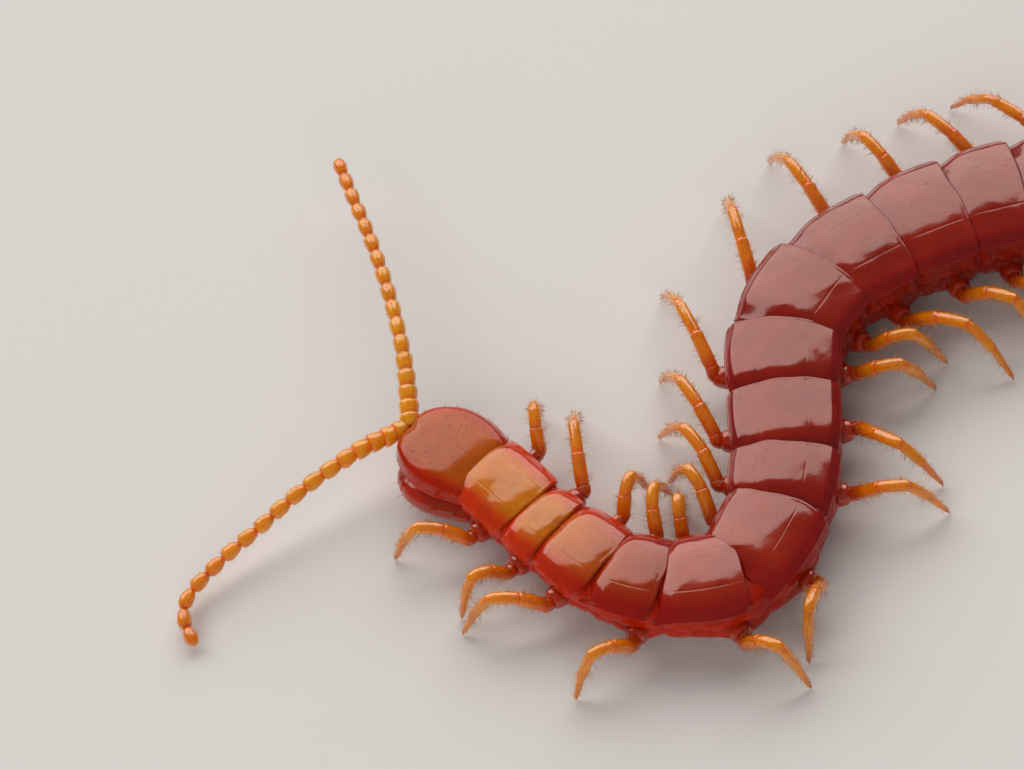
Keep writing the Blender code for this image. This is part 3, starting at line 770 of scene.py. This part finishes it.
LAST_LEG_ARTICLES = (
    (0.0, 0.06, 0.44, 0.38, 0), (0.06, 0.27, 0.38, 0.39, 50), (0.27, 0.5, 0.35, 0.33, 54),
    (0.5, 0.72, 0.31, 0.29, 54), (0.72, 0.88, 0.25, 0.23, 40), (0.88, 0.965, 0.19, 0.14, 24),
)


def make_last_leg(side):
    """A stout last leg with two spines on its first long article."""
    sign = 1 if side == "left" else -1
    station = BODY_LENGTH + 0.15
    back = BODY.heading(station)
    outward = leftward(back) * sign
    turn = math.radians(LAST_LEG_SPREAD)
    hip = BODY.at(station) + outward * PLATE_WIDTHS[-1] * 0.28
    along = back * math.cos(turn) + outward * math.sin(turn)
    points = [(*(hip - back * 0.6), 1.2)]
    for share, height in LAST_LEG_SHAPE:
        way = back * share + (along - back) * max(0.0, share - LAST_LEG_SHAPE[1][0])
        points.append((*(hip + way * LAST_LEG_LENGTH), height))
    line = Line(points)
    across = np.array([-along[1], along[0], 0.0])
    piece = Piece()
    make_limb(piece, line, across, LAST_LEG_ARTICLES, 24, 0.958, 0.1)
    for share, way in ((0.2, (0.0, -1.0)), (0.225, (-1.0, -0.2))):
        place = share * line.length
        forward = line.heading(place)
        out = unit(np.array([*(outward * way[0]), way[1]]))
        root = line.at(place) + out * 0.3
        steps = np.linspace(0, 1, 7)[:, None]
        path = root + (out + forward * 0.5) * steps * 0.36
        rings = tube_rings(path, across + forward * 0.3, 0.09 * (1 - steps[:, 0]) ** 0.7 + 0.006, 10)
        piece.surface(rings, 0.2, 0.2 + 0.6 * steps)
    piece.make(f"last_leg_{side}", LIMB_FINISH, "legs", f"leg_{SEGMENTS:02d}_{side}")


# Along a feeler's article: share of its length, then radius share and darkness near the head and at the end
FEELER_ARTICLE = (
    (0.0, 0.82, 0.6, 0.42, 0.9), (0.05, 0.87, 0.3, 0.58, 0.5), (0.18, 0.92, 0.05, 0.82, 0.1),
    (0.38, 0.97, 0.0, 0.99, 0.0), (0.6, 1.02, 0.0, 1.06, 0.0), (0.8, 1.04, 0.05, 0.99, 0.05),
    (0.93, 0.98, 0.25, 0.76, 0.3), (1.0, 0.84, 0.6, 0.44, 0.9),
)
# How far a feeler starts inside the head, and its radius where the tip begins
FEELER_ROOT = 0.75
FEELER_END_RADIUS = 0.235


def make_feeler(side, route):
    """One feeler: close rings near the head that become beads, a rounded tip and a coat of short hairs."""
    line = Line(route)
    way = line.heading(line.length / 2)
    across = np.array([-way[1], way[0], 0.0])
    piece = Piece()
    rows = []
    lengths = 0.7 + 0.4 * ease(0.0, 7.0, np.arange(FEELER_ARTICLES))
    starts = np.concatenate([[0.0], np.cumsum(lengths) / lengths.sum()])
    for k in range(FEELER_ARTICLES):
        bead = min(1.0, k / FEELER_ARTICLES * 1.7)
        size = 0.36 - 0.07 * ease(0.0, 6.0, k) - 0.055 * k / (FEELER_ARTICLES - 1)
        for share, one, dark, two, darker in FEELER_ARTICLE:
            place = starts[k] + (starts[k + 1] - starts[k]) * share
            station = place * (line.length + FEELER_ROOT) - FEELER_ROOT
            rows.append((station, size * (one + (two - one) * bead), dark + (darker - dark) * bead))
    stations, radii, shades = np.array(rows).T
    share = stations / line.length
    into_tip = (share - 1) * FEELER_ARTICLES / 0.45 + 1
    tip = into_tip > 0
    radii[tip] = FEELER_END_RADIUS * np.sqrt(np.clip(1 - into_tip[tip] ** 2, 0.02, 1))
    shades = np.where(tip, 0.05, shades)
    rings = tube_rings(line.at(stations), across, radii, 24)
    piece.surface(rings, np.clip(share, 0, 1)[:, None], shades[:, None] * 0.8)
    count = 1500
    place = line.length * rng.uniform(0.03, 0.99, count)
    forward, out = round_path(line, across, place, 0.1)
    roots = line.at(place) + out * (np.interp(place, stations, radii) * 0.96)[:, None]
    length = rng.uniform(0.06, 0.13, count)
    piece.bristles(roots, out + forward * rng.uniform(0.7, 1.4, count)[:, None], length, 0.0055, 0.9)
    piece.make(f"feeler_{side}", FEELER_FINISH, "feelers", f"antenna_{side}")


# The head capsule by station: half width, top and underside
HEAD_WIDTH = (
    (0.0, 0.3), (0.05, 0.55), (0.15, 0.8), (0.35, 1.05), (0.6, 1.27), (1.1, 1.56), (1.75, 1.72),
    (2.4, 1.7), (2.85, 1.6), (3.3, 1.46), (3.7, 1.3),
)
HEAD_TOP = (
    (0.0, 1.85), (0.05, 2.0), (0.15, 2.13), (0.35, 2.28), (0.6, 2.38), (1.1, 2.46), (1.75, 2.51),
    (2.4, 2.48), (2.85, 2.42), (3.2, 2.35), (3.35, 2.3), (3.7, 2.1),
)
HEAD_UNDER = ((0.0, 1.74), (0.1, 1.6), (0.3, 1.46), (0.6, 1.38), (1.1, 1.33), (1.75, 1.3), (3.7, 1.2))
# Half of its section: share of the half width, share of the height
HEAD_SECTION = (
    (0.0, 1.0), (0.32, 0.998), (0.56, 0.992), (0.7, 0.981), (0.8, 0.948), (0.88, 0.872), (0.94, 0.755),
    (0.98, 0.6), (1.0, 0.46), (0.97, 0.38), (0.9, 0.3), (0.84, 0.18), (0.7, 0.05), (0.45, 0.0), (0.0, 0.0),
)
HEAD_STATIONS = np.concatenate([
    (0.0, 0.012, 0.03, 0.06, 0.1, 0.15, 0.21, 0.28, 0.36, 0.45), np.linspace(0.56, 3.7, 44),
])
HEAD_SIDE = 60


def make_head():
    """The head: a smooth shield with a rolled rim over softer sides, and a face under its front."""
    half = Line(HEAD_SECTION)
    profile = half.at(np.linspace(0.0, half.length, HEAD_SIDE + 1))
    rim = 0.05 * bell(profile[:, 1], 0.46, 0.05) * (profile[:, 0] > 0.8)
    rim -= 0.05 * bell(profile[:, 1], 0.33, 0.04) * (profile[:, 0] > 0.7)
    across, rise, rim = mirrored(profile[:, 0], -1), mirrored(profile[:, 1]), mirrored(rim)
    station = HEAD_STATIONS[:, None]
    top, under, width = (read(table, station) for table in (HEAD_TOP, HEAD_UNDER, HEAD_WIDTH))
    fade = ease(0.0, 0.4, station)
    reach = across * width + np.sign(across) * rim * fade
    level = under + (top - under) * rise
    level -= 0.05 * bell(across, 0.0, 0.12) * bell(station, 0.0, 0.35) * (rise > 0.5)
    level -= 0.008 * bell(across, 0.0, 0.03) * ease(2.9, 2.2, station) * (rise > 0.5)
    level += 0.05 * bell(np.abs(across), 0.45, 0.2) * bell(station, 0.2, 0.25) * (rise > 0.5)
    grid = on_body(station, reach, level)
    shade = 0.95 * ease(0.55, 0.88, np.abs(across)) + 0.35 * bell(station, 0.0, 0.12)
    piece = Piece()
    piece.surface(grid, station / BODY_LENGTH, np.clip(shade, 0, 0.95))
    count = 260
    rows, columns = rng.integers(6, 48, count), rng.integers(0, len(across), count)
    above = rise[columns] > 0.3
    rows, columns = rows[above], columns[above]
    roots = grid[rows, columns]
    centre = on_body(HEAD_STATIONS[rows], 0.0, 1.7)
    ways = unit(roots - centre) + slanted(HEAD_STATIONS[rows], -0.5, 0.2)
    piece.bristles(roots, ways, rng.uniform(0.1, 0.17, len(roots)), 0.006, 0.1)
    make_face(piece)
    piece.make("head_shield", HEAD_FINISH, "head", "head")


# The paired mouth parts: rows of station, distance from the middle, height and radius
MOUTH_PARTS = (
    ((0.75, 0.28, 1.3, 0.06), (1.0, 0.42, 1.16, 0.16), (1.3, 0.5, 1.12, 0.2), (1.7, 0.45, 1.2, 0.12)),
    ((0.4, 0.42, 1.38, 0.03), (0.48, 0.6, 1.2, 0.13), (0.8, 0.76, 1.12, 0.16), (1.2, 0.82, 1.12, 0.18),
     (1.8, 0.75, 1.2, 0.14)),
)


def make_face(piece):
    """Adds the lip plate and the paired mouth parts under the head."""
    for sign in (-1, 1):
        for rows in MOUTH_PARTS:
            line, place, _ = shaped_path(rows, sign, 18)
            size = np.interp(place, np.linspace(0, line.length, len(rows)), [row[3] for row in rows])
            size = size * np.sqrt(np.clip(1 - (2 * place / line.length - 1) ** 8, 0.05, 1))
            rings = tube_rings(line.at(place), (0.3, 0.3, 0.9), size, 14)
            piece.surface(rings, 0.02, 0.1 + 0.3 * bell(place / line.length, 0.0, 0.15)[:, None])
    station = np.linspace(0.3, 1.5, 16)[:, None]
    angle = circle(40)
    swell = np.sqrt(np.clip(1 - ((station - 0.9) / 0.61) ** 2, 0.01, 1))
    teeth = 0.03 * np.cos(angle * 9) * bell(station, 1.45, 0.1)
    grid = on_body(station + teeth, 0.72 * swell * np.cos(angle), 1.38 + 0.14 * swell * np.sin(angle))
    piece.surface(grid, 0.03, 0.25)


HEAD_COLOURS = (
    (0.0, (0.4, 0.06, 0.0006)), (0.03, (0.42, 0.07, 0.0006)), (0.055, (0.44, 0.085, 0.001)),
    (0.08, (0.4, 0.07, 0.001)),
)
HEAD_FINISH = cuticle("head_cuticle", HEAD_COLOURS, (0.11, 0.16), 0.4, translucency=0.7, grain=0.5,
                      specular=0.3, depth=0.0012)

# The base of the poison claws by station: half width, underside and top
CLAW_BASE = (
    (1.85, 0.62, 0.74, 0.92), (1.95, 0.85, 0.6, 1.0), (2.2, 1.2, 0.5, 1.12), (2.6, 1.55, 0.43, 1.26),
    (3.0, 1.7, 0.4, 1.38), (3.4, 1.68, 0.42, 1.4), (3.8, 1.5, 0.48, 1.3),
)
# Half of that base's section: share of the half width, share of the height
CLAW_SECTION = (
    (0.0, 1.0), (0.6, 0.98), (0.9, 0.8), (1.0, 0.5), (0.88, 0.2), (0.6, 0.04), (0.3, 0.0), (0.0, 0.03),
)
# A poison claw: station, distance from the middle, height and radius
CLAW_SHAPE = (
    (3.3, 1.12, 0.86, 0.42), (2.8, 1.26, 0.9, 0.53), (2.25, 1.38, 0.93, 0.57), (1.65, 1.46, 0.96, 0.56),
    (1.1, 1.4, 0.98, 0.48), (0.7, 1.2, 0.98, 0.36), (0.46, 0.88, 0.96, 0.23), (0.34, 0.58, 0.93, 0.13),
    (0.33, 0.32, 0.9, 0.02),
)


def make_claws():
    """The poison claws and the broad plate that they grow from, with its two rows of teeth."""
    piece = Piece()
    half = Line(CLAW_SECTION)
    profile = half.at(np.linspace(0, half.length, 33))
    across, rise = mirrored(profile[:, 0], -1), mirrored(profile[:, 1])
    rows = np.array(CLAW_BASE)
    station = np.linspace(rows[0, 0], rows[-1, 0], 30)[:, None]
    width, under, top = (read(rows[:, [0, k]], station) for k in (1, 2, 3))
    level = under + (top - under) * rise + 0.03 * bell(across, 0.0, 0.05) * (rise < 0.5)
    piece.surface(on_body(station, across * width, level), 0.6, 0.4 * bell(across, 0.0, 0.05) * (rise < 0.5))
    for sign in (-1, 1):
        for k in range(4):
            place = np.linspace(0, 1, 7)
            centres = on_body(1.95 - 0.24 * place, sign * (0.12 + 0.16 * k), 0.78 + 0.05 * place)
            rings = tube_rings(centres, UPWARDS, 0.07 * blunt(place), 10)
            piece.surface(rings, 0.5, 0.35 + 0.5 * place[:, None])
    count = 60
    spots = rng.uniform(2.0, 3.2, count), rng.uniform(-1.1, 1.1, count)
    roots = on_body(spots[0], spots[1], 0.47 + 0.1 * np.abs(spots[1]))
    piece.bristles(roots, slanted(spots[0], -0.6, -1.0), rng.uniform(0.16, 0.3, count), 0.008, 0.6)
    piece.make("claw_base_plate", CLAW_FINISH, "claws", "forcipule_base")
    for side, sign in (("left", 1), ("right", -1)):
        piece = Piece()
        line, place, radius = shaped_path(CLAW_SHAPE, sign, 64)
        share = place / line.length
        joints = sum(bell(share, joint, 0.01) for joint in (0.6, 0.67, 0.73))
        centres = line.at(place)
        rings = tube_rings(centres, UPWARDS, radius * (1 - 0.06 * joints), 32)
        shade = np.clip(0.6 * joints + ease(0.75, 1.0, share), 0, 0.95)
        piece.surface(rings, 0.3, shade[:, None])
        picks = rng.integers(6, 46, count), rng.integers(0, 32, count)
        out = unit(rings[picks] - centres[picks[0]])
        forward = unit(np.gradient(centres, axis=0))[picks[0]]
        piece.bristles(rings[picks], out + forward * 0.5, rng.uniform(0.18, 0.34, count), 0.009, 0.6)
        piece.make(f"poison_claw_{side}", CLAW_FINISH, "claws", f"forcipule_{side}")


# The segments that have breathing holes
SPIRACLE_SEGMENTS = (3, 5, 8, 10, 12, 14, 16, 18, 20, 22)


def make_spiracles():
    """The oval breathing holes on the flanks, each with a raised rim."""
    piece = Piece()
    turn = circle(20)[:, None]
    bead = circle(8)
    size = 1 + 0.25 * np.cos(bead)
    numbers = np.arange(turn.size * bead.size).reshape(turn.size, bead.size)
    corners = [np.roll(numbers, shift, (0, 1)) for shift in ((0, 0), (0, -1), (-1, -1), (-1, 0))]
    quads = np.stack(corners, axis=-1).reshape(-1, 4)
    for number in SPIRACLE_SEGMENTS:
        width = PLATE_WIDTHS[number - 1]
        station = FRONTS[number - 1] + 0.72 * PLATE_LENGTHS[number - 1]
        along = station + 0.13 * np.cos(turn) * size
        height = BELLY_HEIGHT + 0.52 * width * DEPTH_SHARE + 0.08 * np.sin(turn) * size
        reach = 0.93 * width / 2 + 0.05 * np.sin(bead)
        for sign in (-1, 1):
            piece.take(on_body(along, sign * reach, height), [quads], station / BODY_LENGTH, 0.2)
    piece.make("breathing_holes", FLESH_FINISH, "trunk_rear")


# A side piece of the tail: distance behind the body's end, from the middle, height and radius
TAIL_SHAPE = (
    (-1.5, 0.95, 0.95, 0.35), (-0.9, 1.08, 0.98, 0.5), (-0.2, 1.0, 1.02, 0.52), (0.35, 0.85, 1.0, 0.42),
    (0.7, 0.72, 0.92, 0.24), (1.0, 0.66, 0.84, 0.1), (1.2, 0.64, 0.8, 0.02),
)


def make_tail():
    """The swollen side pieces that carry the last legs, each with its point, and the small end lobes."""
    piece = Piece()
    for sign in (-1, 1):
        line, place, radius = shaped_path(TAIL_SHAPE, sign, 30, BODY_LENGTH)
        rings = tube_rings(line.at(place), UPWARDS, radius, 22)
        piece.surface(rings, 1.0, 0.1 + 0.6 * ease(0.7, 1.0, place / line.length)[:, None])
        lobe = np.linspace(0, 1, 12)
        centres = on_body(BODY_LENGTH + 0.2 + 0.75 * lobe, sign * 0.17, 1.25 - 0.15 * lobe)
        piece.surface(tube_rings(centres, UPWARDS, 0.2 * blunt(lobe), 16), 1.0, 0.2)
    piece.make("tail_lobes", BELLY_FINISH, "trunk_rear")


# The photo's camera, in millimetres and degrees, and the scale at which it shows the floor's middle
CAMERA_DISTANCE = 180
CAMERA_ELEVATION = 55
CAMERA_ROLL = 16
SENSOR_WIDTH = 36
PHOTO_WIDTH = 1024
PIXELS_PER_MM = 28.5
# The lights: name, direction, size and power, all at the same distance
LIGHT_DISTANCE = 0.6
LIGHT_CENTRE = Vector((-0.012, 0.0, 0.002))
SOFTBOX_ELEVATION = math.radians(41)
LIGHTS = (
    ("softbox", (0.0, math.cos(SOFTBOX_ELEVATION), math.sin(SOFTBOX_ELEVATION)), (1.2, 0.6), 6.1),
    ("front_fill", (-0.35, -0.8, 0.5), (0.8, 0.5), 2.0),
)
FLOOR_REACH = 1.5


def make_stage():
    """A pale floor, soft studio light and the camera of the photo."""
    scene = bpy.context.scene
    mesh = bpy.data.meshes.new("floor")
    corners = ((-1, -1), (1, -1), (1, 1), (-1, 1))
    mesh.from_pydata([(x * FLOOR_REACH, y * FLOOR_REACH, 0) for x, y in corners], [], [(0, 1, 2, 3)])
    floor = bpy.data.objects.new("floor", mesh)
    scene.collection.objects.link(floor)
    material, _, shader = new_material("floor_paper")
    feed(shader, {"Base Color": (0.7, 0.72, 0.75, 1.0), "Roughness": 0.8})
    mesh.materials.append(material)

    world = bpy.data.worlds.new("studio")
    world.use_nodes = True
    feed(world.node_tree.nodes["Background"], {"Color": (0.95, 0.97, 1.0, 1.0), "Strength": 0.12})
    scene.world = world

    for name, way, extent, power in LIGHTS:
        data = bpy.data.lights.new(name, "AREA")
        data.shape = "RECTANGLE"
        data.size, data.size_y = extent
        data.energy = power
        data.color = (1.0, 0.9, 0.8)
        light = bpy.data.objects.new(name, data)
        direction = Vector(way).normalized()
        light.location = LIGHT_CENTRE + direction * LIGHT_DISTANCE
        light.rotation_euler = direction.to_track_quat("Z", "Y").to_euler()
        light.visible_glossy = name == "softbox"
        scene.collection.objects.link(light)

    data = bpy.data.cameras.new("camera")
    data.sensor_width = SENSOR_WIDTH
    data.lens = PIXELS_PER_MM * CAMERA_DISTANCE / PHOTO_WIDTH * SENSOR_WIDTH
    data.clip_start = 0.001
    camera = bpy.data.objects.new("camera", data)
    tilt = Matrix.Rotation(math.radians(90 - CAMERA_ELEVATION), 4, "X")
    roll = Matrix.Rotation(math.radians(-CAMERA_ROLL), 4, "Z")
    back = Matrix.Translation((0, 0, CAMERA_DISTANCE * MM))
    camera.matrix_world = Matrix.Translation(to_world((0, 0, 0))) @ tilt @ roll @ back
    scene.collection.objects.link(camera)
    scene.camera = camera
    scene.view_settings.view_transform = "Standard"


make_skin()
for plate in range(SEGMENTS):
    make_plate(plate)
    make_belly_plate(plate)
make_head()
make_claws()
for side_name, feeler_route in (("left", LEFT_FEELER), ("right", RIGHT_FEELER)):
    make_feeler(side_name, feeler_route)
    for leg_number in range(1, SEGMENTS):
        make_leg(leg_number, side_name)
    make_last_leg(side_name)
make_spiracles()
make_tail()
make_stage()
